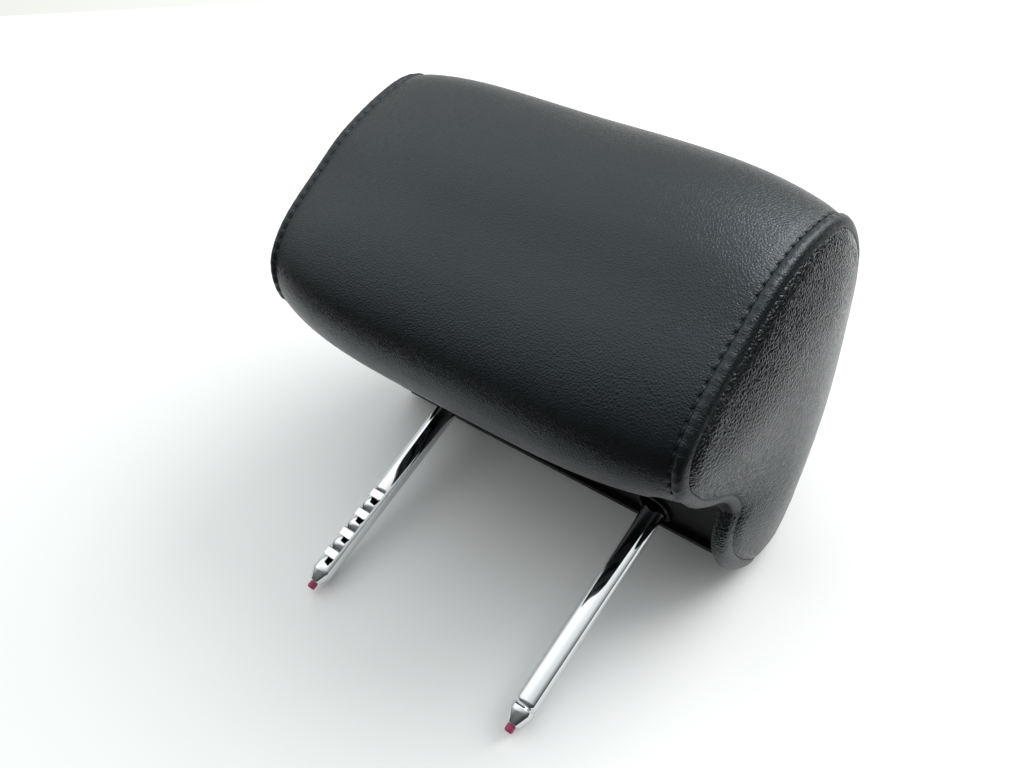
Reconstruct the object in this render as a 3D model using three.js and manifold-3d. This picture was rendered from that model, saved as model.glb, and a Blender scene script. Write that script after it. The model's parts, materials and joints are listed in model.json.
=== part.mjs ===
// Car seat headrest: a padded leather cushion that tilts on a bent tube with two posts.
// Millimetres, +Z up along the posts, -Y towards the occupant's head, +X to the right as seen from that side.
// The origin is midway between the lower ends of the two posts.

import * as THREE from 'three';
import { mergeVertices } from 'three/addons/utils/BufferGeometryUtils.js';
import Module from 'manifold-3d';

const wasm = await Module();
wasm.setup();

// Driving dimensions of the post frame
const postSpacing = 137;
const postDiameter = 12;
const postWall = 2;
const crossbarHeight = 155;
const bendRadius = 20;
const plugShow = 4;
const plugDiameter = 4.4;
const plugShank = 12;
const coneLength = 6;
const coneEndDiameter = 6;
const notchCount = 4;
const firstNotchHeight = 21;
const notchPitch = 13;
const notchLength = 5;
const notchDepth = 1.4;
const grooveHeight = 13;
const grooveWidth = 1.2;
const grooveDepth = 0.5;
const postFacets = 20;
const boreFacets = 12;
const bendSteps = 7;

// Driving dimensions of the cushion: widths at the seams and stitches, and its side view about the crossbar
const seamHalfWidth = 125.5;
const rollWidth = 11;
const sideDome = 4;
const rearTaper = 8;
const frontReach = 147;
const rearReach = 25;
const cushionRise = 89;
const bulgeDrop = 55;
const lobeDrop = 34;
const crown = 10;
const coverThickness = 2;
const gap = 0.3;

// Driving dimensions of the trough under the cushion
const cheekWidth = 15.5;
const bulgeDepth = 54.4;
const troughRear = 10.5;
const notchRear = 53;
const notchDrop = 29;

// Driving dimensions of the carrier inside the foam
const carrierSideReach = 23.5;
const frontFoam = 45;
const topFoam = 39;
const rearFoam = 11;
const carrierDrop = 24;
const carrierWall = 2.5;
const floorThickness = 3;
const carrierCorner = 10;
const rearSlopeTop = 45;
const rearSlopeRise = 10;

// Driving dimensions of the tilt bearing
const tiltRange = 15;
const bearingPlace = 30;
const bushLength = 16;
const bushWall = 2.2;
const bushFlange = 1.2;
const flangeRise = 1.7;
const bushSlit = 1.5;
const springThickness = 0.6;
const springWidth = 10;
const capThickness = 2.6;
const capEar = 11;
const capBase = 4;

// Driving dimensions of the screws
const screwDiameter = 3.2;
const screwHeadDiameter = 6.6;
const screwHeadHeight = 2;
const bossWall = 2;
const shellScrewReach = 12;
const capScrewReach = 9;

// Driving dimensions of the trough trim and the cover strips
const trimThickness = 3;
const trimSideGap = 0.5;
const slotSide = 1;
const bezelWidth = 2.2;
const bezelRise = 1.8;
const pegDiameter = 4.4;
const pegPlaceX = 40;
const frontPegY = -58;
const rearPegY = -19.3;
const stripSideGap = 6;
const stripWall = 1.8;
const stripPegDiameter = 2.6;
const stripPegEdge = 14;
const lipHeight = 4.5;
const lipSideGap = 6;
const lipThickness = 1.8;

// How far a cutting block reaches past what it cuts
const spare = 40;

// Sizes worked out from the driving dimensions
const postRadius = postDiameter / 2;
const boreRadius = postRadius - postWall;
const halfSpacing = postSpacing / 2;
const stitchHalfWidth = seamHalfWidth - rollWidth;
const cushionTop = crossbarHeight + cushionRise;
const bulgeUnder = crossbarHeight - bulgeDrop;
const lobeUnder = crossbarHeight - lobeDrop;
const troughHalfWidth = seamHalfWidth - cheekWidth;
const troughFront = frontReach - bulgeDepth;
const notchTop = crossbarHeight - notchDrop;
const carrierHalfWidth = halfSpacing + carrierSideReach;
const carrierFloor = crossbarHeight - carrierDrop;
const trimHalfWidth = troughHalfWidth - trimSideGap;
const stripHalfWidth = troughHalfWidth - stripSideGap;
const stripPegPitch = (2 / 3) * (carrierHalfWidth - stripPegEdge);
const bushInner = postRadius + gap;
const bushOuter = bushInner + bushWall;
const springInner = bushOuter + gap;
const springOuter = springInner + springThickness;
const capBore = springOuter + gap;
const saddleBore = bushOuter + gap;
const bearingWidth = bushLength - 2 * (bushFlange + gap);
const carrierFront = -(frontReach - frontFoam);
const carrierRear = rearReach - rearFoam;
const carrierTop = cushionTop - topFoam;
const trimTop = carrierFloor - gap;
const trimBottom = trimTop - trimThickness;
const bezelBottom = trimBottom - bezelRise;
const tiltTravel = (crossbarHeight - bezelBottom) * Math.tan(THREE.MathUtils.degToRad(tiltRange));
const slotRear = postRadius + slotSide;
const slotFront = -(postRadius + slotSide + tiltTravel);
const slotHalfWidth = postRadius + slotSide;
const screwRadius = screwDiameter / 2;
const screwHeadRadius = screwHeadDiameter / 2;
const bossRadius = screwHeadRadius + gap + bossWall;
const headSeat = carrierFloor + screwHeadHeight + 2 * gap;
const frontLip = -troughFront + stripWall + 2 * gap;
const stripLow = carrierFloor - lipHeight - gap - stripWall;
const rearStripFront = slotRear + 2;
const stripPegY = rearStripFront + stripWall;
const stripPegPlaces = [-1.5, -0.5, 0.5, 1.5].map((step) => step * stripPegPitch);

// Places in the cushion's side view, by shares of its depth from the front and of its height
function depthAt(share) {
  return share * (frontReach + rearReach) - frontReach;
}

function heightAt(share) {
  return bulgeUnder + share * (cushionTop - bulgeUnder);
}

// Finishes
const leather = new THREE.MeshStandardMaterial({ color: 0x24272b, roughness: 0.42, metalness: 0 });
const grained = new THREE.MeshStandardMaterial({ color: 0x202327, roughness: 0.38, metalness: 0 });
const chrome = new THREE.MeshStandardMaterial({ color: 0xd4d8da, roughness: 0.08, metalness: 1 });
const redPlastic = new THREE.MeshStandardMaterial({ color: 0xb3201c, roughness: 0.45, metalness: 0 });
const blackPlastic = new THREE.MeshStandardMaterial({ color: 0x151617, roughness: 0.6, metalness: 0 });
const paleNylon = new THREE.MeshStandardMaterial({ color: 0xd9d6c8, roughness: 0.5, metalness: 0 });
const springSteel = new THREE.MeshStandardMaterial({ color: 0x8b8f93, roughness: 0.35, metalness: 1 });
const zincSteel = new THREE.MeshStandardMaterial({ color: 0xb9b7a8, roughness: 0.35, metalness: 1 });
const paleFoam = new THREE.MeshStandardMaterial({ color: 0xcfc7a4, roughness: 0.95, metalness: 0 });

// Turns a closed geometry into a solid that can be cut and joined
function solid(geometry) {
  const bare = geometry.clone();
  bare.deleteAttribute('normal');
  bare.deleteAttribute('uv');
  const merged = mergeVertices(bare, 1e-4);
  const mesh = new wasm.Mesh({
    numProp: 3,
    vertProperties: new Float32Array(merged.attributes.position.array),
    triVerts: new Uint32Array(merged.index.array),
  });
  mesh.merge();
  return new wasm.Manifold(mesh);
}

// Joins a list of solids into one
function join(parts) {
  return parts.reduce((whole, part) => whole.add(part));
}

// Turns a solid back into a named mesh of the scene
function piece(name, body, material) {
  const mesh = body.getMesh();
  const geometry = new THREE.BufferGeometry();
  geometry.setAttribute('position', new THREE.BufferAttribute(new Float32Array(mesh.vertProperties), 3));
  geometry.setIndex(new THREE.BufferAttribute(new Uint32Array(mesh.triVerts), 1));
  geometry.computeVertexNormals();
  const node = new THREE.Mesh(geometry, material);
  node.name = name;
  return node;
}

// An outline whose corners are rounded by the radius given with each point
function outline(points) {
  const shape = new THREE.Shape();
  const count = points.length;
  points.forEach(([x, y, radius = 0], i) => {
    const corner = new THREE.Vector2(x, y);
    const before = new THREE.Vector2(...points[(i + count - 1) % count]).sub(corner);
    const after = new THREE.Vector2(...points[(i + 1) % count]).sub(corner);
    const start = corner.clone().addScaledVector(before.normalize(), radius);
    const end = corner.clone().addScaledVector(after.normalize(), radius);
    if (i === 0) shape.moveTo(start.x, start.y);
    else shape.lineTo(start.x, start.y);
    if (radius > 0) shape.quadraticCurveTo(corner.x, corner.y, end.x, end.y);
  });
  shape.closePath();
  return shape;
}

// A side outline in Y and Z, carried along X
function alongX(shape, from, to, curveSegments = 4) {
  const geometry = new THREE.ExtrudeGeometry(shape, { depth: to - from, bevelEnabled: false, curveSegments });
  const turn = new THREE.Matrix4().makeBasis(
    new THREE.Vector3(0, 1, 0),
    new THREE.Vector3(0, 0, 1),
    new THREE.Vector3(1, 0, 0),
  );
  geometry.applyMatrix4(turn);
  geometry.translate(from, 0, 0);
  return solid(geometry);
}

// A plan outline in X and Y, carried up Z
function alongZ(shape, from, to, curveSegments = 4) {
  const geometry = new THREE.ExtrudeGeometry(shape, { depth: to - from, bevelEnabled: false, curveSegments });
  geometry.translate(0, 0, from);
  return solid(geometry);
}

// A straight block between two corners
function block(x0, x1, y0, y1, z0, z1) {
  const geometry = new THREE.BoxGeometry(x1 - x0, y1 - y0, z1 - z0);
  geometry.translate((x0 + x1) / 2, (y0 + y1) / 2, (z0 + z1) / 2);
  return solid(geometry);
}

// A shape turned about a vertical line through x, y; the profile lists radius and height
function turned(profile, x, y, segments = 20) {
  const points = profile.map(([radius, height]) => new THREE.Vector2(radius, height));
  const geometry = new THREE.LatheGeometry(points, segments);
  geometry.rotateX(Math.PI / 2);
  geometry.translate(x, y, 0);
  return solid(geometry);
}

// A plain upright cylinder
function upright(radius, x, y, z0, z1, segments = 14) {
  return turned([[0, z0], [radius, z0], [radius, z1], [0, z1]], x, y, segments);
}

// A full round outline
function disc(y, z, radius) {
  const shape = new THREE.Shape();
  shape.absarc(y, z, radius, 0, 2 * Math.PI, false);
  return shape;
}

// A slot outline with round ends, long in Y
function slotOutline(x, y0, y1, halfWidth) {
  const shape = new THREE.Shape();
  shape.absarc(x, y1 - halfWidth, halfWidth, 0, Math.PI, false);
  shape.absarc(x, y0 + halfWidth, halfWidth, Math.PI, 2 * Math.PI, false);
  shape.closePath();
  return shape;
}

// The centre line of the bent tube: up one post, over the crossbar and down the other
class PostPath extends THREE.Curve {
  constructor(lowerEnd) {
    super();
    this.leg = crossbarHeight - bendRadius - lowerEnd;
    this.arc = (Math.PI / 2) * bendRadius;
    this.bar = postSpacing - 2 * bendRadius;
    this.lowerEnd = lowerEnd;
    this.stations = [0];
    for (let i = 0; i <= bendSteps; i += 1) this.stations.push(this.leg + (this.arc * i) / bendSteps);
    const second = this.leg + this.arc + this.bar;
    for (let i = 0; i <= bendSteps; i += 1) this.stations.push(second + (this.arc * i) / bendSteps);
    this.stations.push(second + this.arc + this.leg);
  }

  place(distance) {
    const { leg, arc, bar, lowerEnd } = this;
    const bendCentre = crossbarHeight - bendRadius;
    const inner = halfSpacing - bendRadius;
    if (distance <= leg) return new THREE.Vector3(-halfSpacing, 0, lowerEnd + distance);
    if (distance <= leg + arc) {
      const angle = (distance - leg) / bendRadius;
      const x = -inner - bendRadius * Math.cos(angle);
      return new THREE.Vector3(x, 0, bendCentre + bendRadius * Math.sin(angle));
    }
    if (distance <= leg + arc + bar) {
      return new THREE.Vector3(-inner + distance - leg - arc, 0, crossbarHeight);
    }
    if (distance <= leg + 2 * arc + bar) {
      const angle = (distance - leg - arc - bar) / bendRadius;
      const x = inner + bendRadius * Math.sin(angle);
      return new THREE.Vector3(x, 0, bendCentre + bendRadius * Math.cos(angle));
    }
    return new THREE.Vector3(halfSpacing, 0, bendCentre - (distance - leg - 2 * arc - bar));
  }

  distanceAt(share) {
    const spot = share * (this.stations.length - 1);
    const index = Math.min(Math.floor(spot), this.stations.length - 2);
    return THREE.MathUtils.lerp(this.stations[index], this.stations[index + 1], spot - index);
  }

  getPoint(share) {
    return this.place(this.distanceAt(share));
  }

  getPointAt(share) {
    return this.getPoint(share);
  }

  getTangentAt(share) {
    const total = this.stations[this.stations.length - 1];
    const distance = this.distanceAt(share);
    const step = 0.01;
    const ahead = this.place(Math.min(distance + step, total));
    const behind = this.place(Math.max(distance - step, 0));
    return ahead.sub(behind).normalize();
  }
}

function bentRod(radius, lowerEnd, segments) {
  const path = new PostPath(lowerEnd);
  const shape = new THREE.Shape();
  for (let i = 0; i < segments; i += 1) {
    const angle = (2 * Math.PI * i) / segments;
    const x = radius * Math.cos(angle);
    const y = radius * Math.sin(angle);
    if (i === 0) shape.moveTo(x, y);
    else shape.lineTo(x, y);
  }
  shape.closePath();
  const steps = path.stations.length - 1;
  return solid(new THREE.ExtrudeGeometry(shape, { steps, extrudePath: path, bevelEnabled: false }));
}

// The chromed tube, swaged to a cone at both ends, with height notches on one post
function postFrame() {
  const coneTop = plugShow + coneLength;
  const holeRadius = plugDiameter / 2 - gap / 2;
  const overlap = 1;
  let frame = bentRod(postRadius, coneTop, postFacets);
  for (const side of [-1, 1]) {
    const cone = [
      [0, plugShow],
      [coneEndDiameter / 2, plugShow],
      [postRadius, coneTop],
      [postRadius, coneTop + overlap],
      [0, coneTop + overlap],
    ];
    frame = frame.add(turned(cone, side * halfSpacing, 0, postFacets));
  }
  frame = frame.subtract(bentRod(boreRadius, coneTop, boreFacets));
  for (const side of [-1, 1]) {
    const x = side * halfSpacing;
    const hole = upright(holeRadius, x, 0, plugShow - overlap, coneTop + overlap, boreFacets);
    frame = frame.subtract(hole);
  }
  for (let i = 0; i < notchCount; i += 1) {
    const middle = firstNotchHeight + i * notchPitch;
    const face = -postRadius;
    const bottom = face + notchDepth;
    const cut = outline([
      [face - 1, middle - notchLength / 2 - 1],
      [bottom, middle - notchLength / 2 + notchDepth],
      [bottom, middle + notchLength / 2],
      [face - 1, middle + notchLength / 2],
    ]);
    frame = frame.subtract(alongX(cut, -halfSpacing - postRadius - 1, -halfSpacing + postRadius + 1));
  }
  const inside = postRadius - grooveDepth;
  const ring = upright(postRadius + 1, halfSpacing, 0, grooveHeight, grooveHeight + grooveWidth, postFacets)
    .subtract(upright(inside, halfSpacing, 0, grooveHeight - 1, grooveHeight + grooveWidth + 1, postFacets));
  return frame.subtract(ring);
}

// The red plug in the end of a post, with a round tip and a shank in the swaged hole
function endPlug(side) {
  const head = plugDiameter / 2;
  const shank = head - gap / 2 - gap;
  const tip = 0.9;
  const profile = [
    [0, 0],
    [head - tip, 0],
    [head - 0.3 * tip, 0.3 * tip],
    [head, tip],
    [head, plugShow - gap],
    [shank, plugShow - gap],
    [shank, plugShow + plugShank - 1],
    [shank - 0.6, plugShow + plugShank],
    [0, plugShow + plugShank],
  ];
  return turned(profile, side * halfSpacing, 0, boreFacets);
}

// The side outline of the cushion: shares of its depth from the front, of its height, and of the crown
const sidePoints = [
  [0.198, 0, 1],
  [0.105, 0.062, 1],
  [0.058, 0.188, 0.9],
  [0.023, 0.389, 0.8],
  [0, 0.569, 0.8],
  [0.026, 0.75, 0.9],
  [0.128, 0.934, 1],
  [0.32, 1, 1],
  [0.529, 0.927, 0.9],
  [0.75, 0.715, 0.7],
  [0.948, 0.458, 0.5],
  [1, 0.354, 0.4],
  [0.965, 0.215, 0.3],
  [0.919, 0.153, 0.2],
  [0.773, 0.122, 0],
  [0.622, 0.111, 0],
  [0.436, 0.069, 0],
  [0.297, 0.014, 0.6],
];
const sideCurve = new THREE.CatmullRomCurve3(
  sidePoints.map(([back, up, share]) => new THREE.Vector3(depthAt(back), heightAt(up), share)),
  true,
  'centripetal',
);
const loopCount = 44;
const loopPoints = sideCurve.getPoints(loopCount).slice(0, loopCount);
const domeCentre = new THREE.Vector2(depthAt(0.494), (cushionTop + lobeUnder) / 2);

// Cross sections across the width: place, share of the crown, size about the middle of the side
const stations = [
  { place: 0, bulge: 1, size: 1 },
  { place: 0.38 * stitchHalfWidth, bulge: 0.87, size: 1 },
  { place: 0.72 * stitchHalfWidth, bulge: 0.5, size: 1 },
  { place: stitchHalfWidth, bulge: 0, size: 1 },
  { place: (stitchHalfWidth + seamHalfWidth) / 2, bulge: 0, size: 0.997 },
  { place: seamHalfWidth, bulge: 0, size: 0.965 },
  { place: seamHalfWidth + 0.62 * sideDome, bulge: 0, size: 0.88 },
  { place: seamHalfWidth + 0.92 * sideDome, bulge: 0, size: 0.68 },
  { place: seamHalfWidth + sideDome, bulge: 0, size: 0.38 },
];

// One closed cross section, drawn in by the inset
function crossSection(side, station, inset) {
  const flat = loopPoints.map((point) => {
    const place = new THREE.Vector2(point.x, point.y).sub(domeCentre).multiplyScalar(station.size);
    return place.add(domeCentre);
  });
  const reach = station.place - inset * (station.place / (seamHalfWidth + sideDome));
  return flat.map((point, i) => {
    const next = flat[(i + 1) % loopCount];
    const last = flat[(i + loopCount - 1) % loopCount];
    const along = next.clone().sub(last).normalize();
    const inward = new THREE.Vector2(along.y, -along.x);
    const push = inset - crown * station.bulge * loopPoints[i].z;
    const y = point.x + inward.x * push;
    const z = point.y + inward.y * push;
    const back = (y + frontReach) / (rearReach + frontReach);
    const narrow = rearTaper * THREE.MathUtils.clamp(back, 0, 1) * (station.place / seamHalfWidth);
    return new THREE.Vector3(side * (reach - narrow), y, z);
  });
}

// The padded form without its trough, drawn in by the inset
function paddedForm(inset) {
  const rows = [];
  for (let i = stations.length - 1; i > 0; i -= 1) rows.push(crossSection(-1, stations[i], inset));
  for (const station of stations) rows.push(crossSection(1, station, inset));
  const positions = rows.flat().flatMap((point) => [point.x, point.y, point.z]);
  const triangles = [];
  for (let row = 0; row < rows.length - 1; row += 1) {
    for (let i = 0; i < loopCount; i += 1) {
      const a = row * loopCount + i;
      const b = row * loopCount + ((i + 1) % loopCount);
      triangles.push(a, a + loopCount, b, b, a + loopCount, b + loopCount);
    }
  }
  const endFace = rows[0].map((point) => new THREE.Vector2(point.y, point.z));
  const lastRow = (rows.length - 1) * loopCount;
  for (const [a, b, c] of THREE.ShapeUtils.triangulateShape(endFace, [])) {
    const ahead = THREE.ShapeUtils.area([endFace[a], endFace[b], endFace[c]]) > 0;
    const [first, second] = ahead ? [b, c] : [c, b];
    triangles.push(a, second, first);
    triangles.push(lastRow + a, lastRow + first, lastRow + second);
  }
  const geometry = new THREE.BufferGeometry();
  geometry.setAttribute('position', new THREE.Float32BufferAttribute(positions, 3));
  geometry.setIndex(triangles);
  return solid(geometry);
}

// The trough round the posts, and the notch that opens it at both sides, both grown by the margin
function trough(margin) {
  const below = bulgeUnder - spare;
  const middle = outline([
    [-troughFront - 10 - margin, below],
    [-troughFront - 10 - margin, bulgeUnder + 2],
    [-troughFront - margin, bulgeUnder + 15, 5],
    [-troughFront - margin, carrierFloor + margin],
    [troughRear + margin, carrierFloor + margin],
    [troughRear + margin, below],
  ]);
  const notch = outline([
    [-troughFront - 10 - margin, below],
    [-troughFront - 9 - margin, bulgeUnder + 3],
    [-troughFront + 2 - margin, notchTop + margin, 9],
    [-notchRear - 4 + margin, notchTop + margin, 8],
    [-notchRear + margin, lobeUnder - 6, 3],
    [-notchRear + margin, below],
  ]);
  const across = seamHalfWidth + 3 * sideDome;
  return alongX(middle, -troughHalfWidth - margin, troughHalfWidth + margin)
    .add(alongX(notch, -across, across));
}

const insideForm = paddedForm(coverThickness).subtract(trough(coverThickness));
const coverEdge = block(
  -troughHalfWidth,
  troughHalfWidth,
  -troughFront,
  carrierRear + gap,
  stripLow - gap,
  carrierFloor + 4 * coverThickness,
);
const ceiling = block(
  -troughHalfWidth - coverThickness,
  troughHalfWidth + coverThickness,
  -troughFront - 2 * coverThickness,
  carrierRear + gap,
  carrierFloor - gap,
  carrierFloor + 4 * coverThickness,
);
const openForm = paddedForm(0).subtract(trough(0));
const wholeCover = openForm.subtract(insideForm).subtract(coverEdge).subtract(ceiling);

// The line across which the bottom strip of leather is sewn to the main panel
const gussetFront = -troughFront + 2;
const gussetTop = lobeUnder + 12;
const sideLine = seamHalfWidth - 2.5;

// The part of the cover between the two side seams, which close in towards the rear
function betweenSeams(margin) {
  const front = sideLine + margin;
  const rear = front - rearTaper;
  const plan = outline([
    [-front, -frontReach - spare],
    [front, -frontReach - spare],
    [front, -frontReach],
    [rear, rearReach],
    [rear, rearReach + spare],
    [-rear, rearReach + spare],
    [-rear, rearReach],
    [-front, -frontReach],
  ]);
  return alongZ(plan, 0, cushionTop + spare);
}

function gussetRegion(margin) {
  const across = seamHalfWidth;
  const front = gussetFront - margin;
  return block(-across, across, front, rearReach + spare, bulgeUnder - spare, gussetTop + margin);
}

function mainCover() {
  return wholeCover.intersect(betweenSeams(0)).subtract(gussetRegion(gap));
}

function bottomGusset() {
  return wholeCover.intersect(betweenSeams(0)).intersect(gussetRegion(0));
}

function sidePanel(side) {
  const outer = seamHalfWidth + 4 * sideDome;
  const [from, to] = side > 0 ? [0, outer] : [-outer, 0];
  const half = block(from, to, -frontReach - spare, rearReach + spare, 0, cushionTop + spare);
  return wholeCover.subtract(betweenSeams(gap)).intersect(half);
}

// The carrier's side outline and plan, drawn in by the inset
function carrierForm(inset, from, to) {
  const shoulder = 7;
  const side = outline([
    [carrierRear - inset, carrierFloor + inset, 2],
    [carrierRear - inset, crossbarHeight + rearSlopeRise, 5],
    [-rearSlopeTop - 0.6 * inset, carrierTop - inset, 6],
    [carrierFront + shoulder + inset, carrierTop - inset, 4],
    [carrierFront + inset, carrierTop - shoulder - inset, 4],
    [carrierFront + inset, carrierFloor + inset, 4],
  ]);
  const half = carrierHalfWidth - inset;
  const corner = carrierCorner - inset;
  const plan = outline([
    [-half, carrierFront + inset, corner],
    [half, carrierFront + inset, corner],
    [half, carrierRear - inset, corner],
    [-half, carrierRear - inset, corner],
  ]);
  return alongX(side, -half, half).intersect(alongZ(plan, from, to));
}

const shellScrewPlaces = [-1, 1].flatMap((side) => [
  [side * (carrierHalfWidth - carrierWall - bossRadius), carrierFront + carrierWall + bossRadius + 2],
  [side * (carrierHalfWidth - carrierWall - bossRadius), carrierRear - carrierWall - bossRadius - 2],
]);
const capScrewY = -(capBore + capThickness + screwHeadRadius + gap);
const capScrewPlaces = [-1, 1].flatMap((side) => [
  [side * (bearingPlace - bearingWidth / 2 - screwRadius), capScrewY],
  [side * (bearingPlace + bearingWidth / 2 + screwRadius), capScrewY],
]);

// Lower half of the carrier: floor with two slots, saddles for the crossbar, bosses and hooked lips
function lowerShell() {
  const below = carrierFloor - lipHeight - 1;
  let shell = carrierForm(0, below, crossbarHeight)
    .subtract(carrierForm(carrierWall, carrierFloor + floorThickness, crossbarHeight + 1));
  const ribs = [];
  for (const side of [-1, 1]) {
    const middle = side * bearingPlace;
    ribs.push(block(
      middle - bearingWidth / 2,
      middle + bearingWidth / 2,
      -saddleBore - capThickness,
      carrierRear - carrierWall / 2,
      carrierFloor + floorThickness - 1,
      crossbarHeight,
    ));
    for (const place of [0.5, 0.82]) {
      const x = side * carrierHalfWidth * place;
      const ribTop = crossbarHeight - 12;
      const ribRear = slotFront - 8;
      ribs.push(block(
        x - 1,
        x + 1,
        carrierFront + carrierWall / 2,
        ribRear,
        carrierFloor + floorThickness - 1,
        ribTop,
      ));
    }
  }
  for (const [x, y] of capScrewPlaces) {
    ribs.push(upright(screwRadius + bossWall, x, y, carrierFloor + 1, crossbarHeight, 16));
    const inner = Math.min(y, -saddleBore - 1);
    ribs.push(block(x - 1, x + 1, inner, -saddleBore - 1, carrierFloor + 1, crossbarHeight - 6));
  }
  for (const [x, y] of shellScrewPlaces) {
    ribs.push(upright(bossRadius, x, y, carrierFloor + 1, crossbarHeight));
  }
  const middleRib = block(-1, 1, carrierFront + 1, carrierRear - 1, carrierFloor + 1, crossbarHeight - 14);
  shell = shell.add(join([...ribs, middleRib]));
  const lipHalf = carrierHalfWidth - lipSideGap;
  shell = shell.add(block(
    -lipHalf,
    lipHalf,
    frontLip,
    frontLip + lipThickness,
    carrierFloor - lipHeight,
    carrierFloor + 1,
  ));
  for (const side of [-1, 1]) {
    const bore = bushLength / 2 + 1;
    shell = shell.subtract(alongX(
      disc(0, crossbarHeight, saddleBore),
      side * bearingPlace - bore,
      side * bearingPlace + bore,
      8,
    ));
    const slot = slotOutline(side * halfSpacing, slotFront, slotRear, slotHalfWidth);
    shell = shell.subtract(alongZ(slot, carrierFloor - 1, carrierFloor + floorThickness + 1, 6));
    for (const y of [frontPegY, rearPegY]) {
      const x = side * pegPlaceX;
      const hole = upright(pegDiameter / 2 + gap, x, y, carrierFloor - 1, carrierFloor + 8, 12);
      shell = shell.subtract(hole);
    }
  }
  for (const [x, y] of shellScrewPlaces) {
    shell = shell.subtract(upright(screwHeadRadius + gap, x, y, carrierFloor - 1, headSeat));
    shell = shell.subtract(upright(screwRadius + gap, x, y, headSeat - 1, crossbarHeight + 1, 12));
  }
  for (const x of stripPegPlaces) {
    const hole = upright(stripPegDiameter / 2 + gap, x, stripPegY, carrierFloor - 1, carrierFloor + 3, 10);
    shell = shell.subtract(hole);
  }
  for (const [x, y] of capScrewPlaces) {
    const bottom = crossbarHeight - capScrewReach - 1;
    shell = shell.subtract(upright(screwRadius + gap, x, y, bottom, crossbarHeight + 1, 12));
  }
  return shell;
}

// Upper half of the carrier: a ribbed hood over the crossbar, screwed down at four bosses
function upperShell() {
  const bottom = crossbarHeight + gap;
  let shell = carrierForm(0, bottom, carrierTop + 1)
    .subtract(carrierForm(carrierWall, bottom - 1, carrierTop + 1));
  const inside = carrierForm(carrierWall / 2, bottom, carrierTop + 1);
  const ribs = shellScrewPlaces.map(([x, y]) => upright(bossRadius, x, y, bottom, carrierTop));
  const clearTop = crossbarHeight + capBore + capThickness + screwHeadHeight + 4;
  for (const place of [-0.62, -0.2, 0.2, 0.62]) {
    const x = place * carrierHalfWidth;
    ribs.push(block(x - 1, x + 1, carrierFront, carrierRear, clearTop, carrierTop));
  }
  const crossRibLow = (2 * clearTop + carrierTop) / 3;
  ribs.push(block(
    -carrierHalfWidth,
    carrierHalfWidth,
    carrierFront / 2 - 1,
    carrierFront / 2 + 1,
    crossRibLow,
    carrierTop,
  ));
  shell = shell.add(join(ribs).intersect(inside));
  for (const [x, y] of shellScrewPlaces) {
    const reach = crossbarHeight + shellScrewReach + 1;
    shell = shell.subtract(upright(screwRadius + gap, x, y, bottom - 1, reach, 12));
  }
  return shell;
}

// A cap that holds the crossbar, its bush and its friction spring down in the saddle
function bearingCap(side) {
  const middle = side * bearingPlace;
  const bottom = crossbarHeight + gap;
  const outer = capBore + capThickness;
  const rear = Math.min(outer, carrierRear - carrierWall - gap);
  const from = middle - bearingWidth / 2;
  const to = middle + bearingWidth / 2;
  const shoulder = bottom + outer / 2;
  let cap = alongX(disc(0, crossbarHeight, outer), from, to, 10)
    .add(block(from, to, -outer, rear, crossbarHeight - 1, shoulder))
    .intersect(block(from, to, -outer, rear, bottom, bottom + 2 * outer));
  const earReach = bearingWidth / 2 + 2 * screwRadius + bossWall;
  cap = cap.add(block(
    middle - earReach,
    middle + earReach,
    -outer - capEar,
    -capBore - 1,
    bottom,
    bottom + capBase,
  ));
  const web = outline([
    [-outer + 1, bottom + capBase - 1],
    [-outer + 1, bottom + capBase + 5],
    [-outer - capEar + 2, bottom + capBase - 1],
  ]);
  cap = cap.add(alongX(web, middle - 1, middle + 1));
  const bore = bushLength / 2 + 4 * bushFlange + 5;
  cap = cap.subtract(alongX(disc(0, crossbarHeight, capBore), middle - bore, middle + bore, 10));
  for (const [x, y] of capScrewPlaces) {
    if (Math.sign(x) === side) {
      cap = cap.subtract(upright(screwRadius + gap, x, y, bottom - 1, bottom + capBase + 1, 12));
    }
  }
  return cap;
}

// A split flanged bush that grips the crossbar
function bearingBush(side) {
  const middle = side * bearingPlace;
  const half = bushLength / 2;
  const flangeRadius = Math.min(bushOuter + flangeRise, carrierRear - carrierWall - gap);
  let bush = alongX(disc(0, crossbarHeight, bushOuter), middle - half, middle + half, 10);
  for (const way of [-1, 1]) {
    const from = way < 0 ? middle - half : middle + half - bushFlange;
    bush = bush.add(alongX(disc(0, crossbarHeight, flangeRadius), from, from + bushFlange, 10));
  }
  bush = bush.subtract(alongX(disc(0, crossbarHeight, bushInner), middle - half - 1, middle + half + 1, 10));
  const slit = block(
    middle - half - 1,
    middle + half + 1,
    -bushSlit / 2,
    bushSlit / 2,
    crossbarHeight - flangeRadius - 1,
    crossbarHeight - bushInner + 1,
  );
  return bush.subtract(slit);
}

// A curved strip of spring steel between the bush and the cap
function frictionSpring(side) {
  const middle = side * bearingPlace;
  const start = THREE.MathUtils.degToRad(25);
  const end = Math.PI - start;
  const arc = new THREE.Shape();
  arc.absarc(0, crossbarHeight, springOuter, start, end, false);
  arc.absarc(0, crossbarHeight, springInner, end, start, true);
  arc.closePath();
  return alongX(arc, middle - springWidth / 2, middle + springWidth / 2, 10);
}

// A pan-head screw: head below or above its shank, by the sign of the way
function screw(x, y, seat, reach, way) {
  const profile = [
    [0, seat - way * screwHeadHeight],
    [screwHeadRadius - 0.8, seat - way * screwHeadHeight],
    [screwHeadRadius, seat - way * (screwHeadHeight - 0.8)],
    [screwHeadRadius, seat],
    [screwRadius, seat],
    [screwRadius, reach - way],
    [screwRadius - 0.8, reach],
    [0, reach],
  ];
  return turned(way > 0 ? profile : profile.reverse(), x, y, 10);
}

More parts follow.
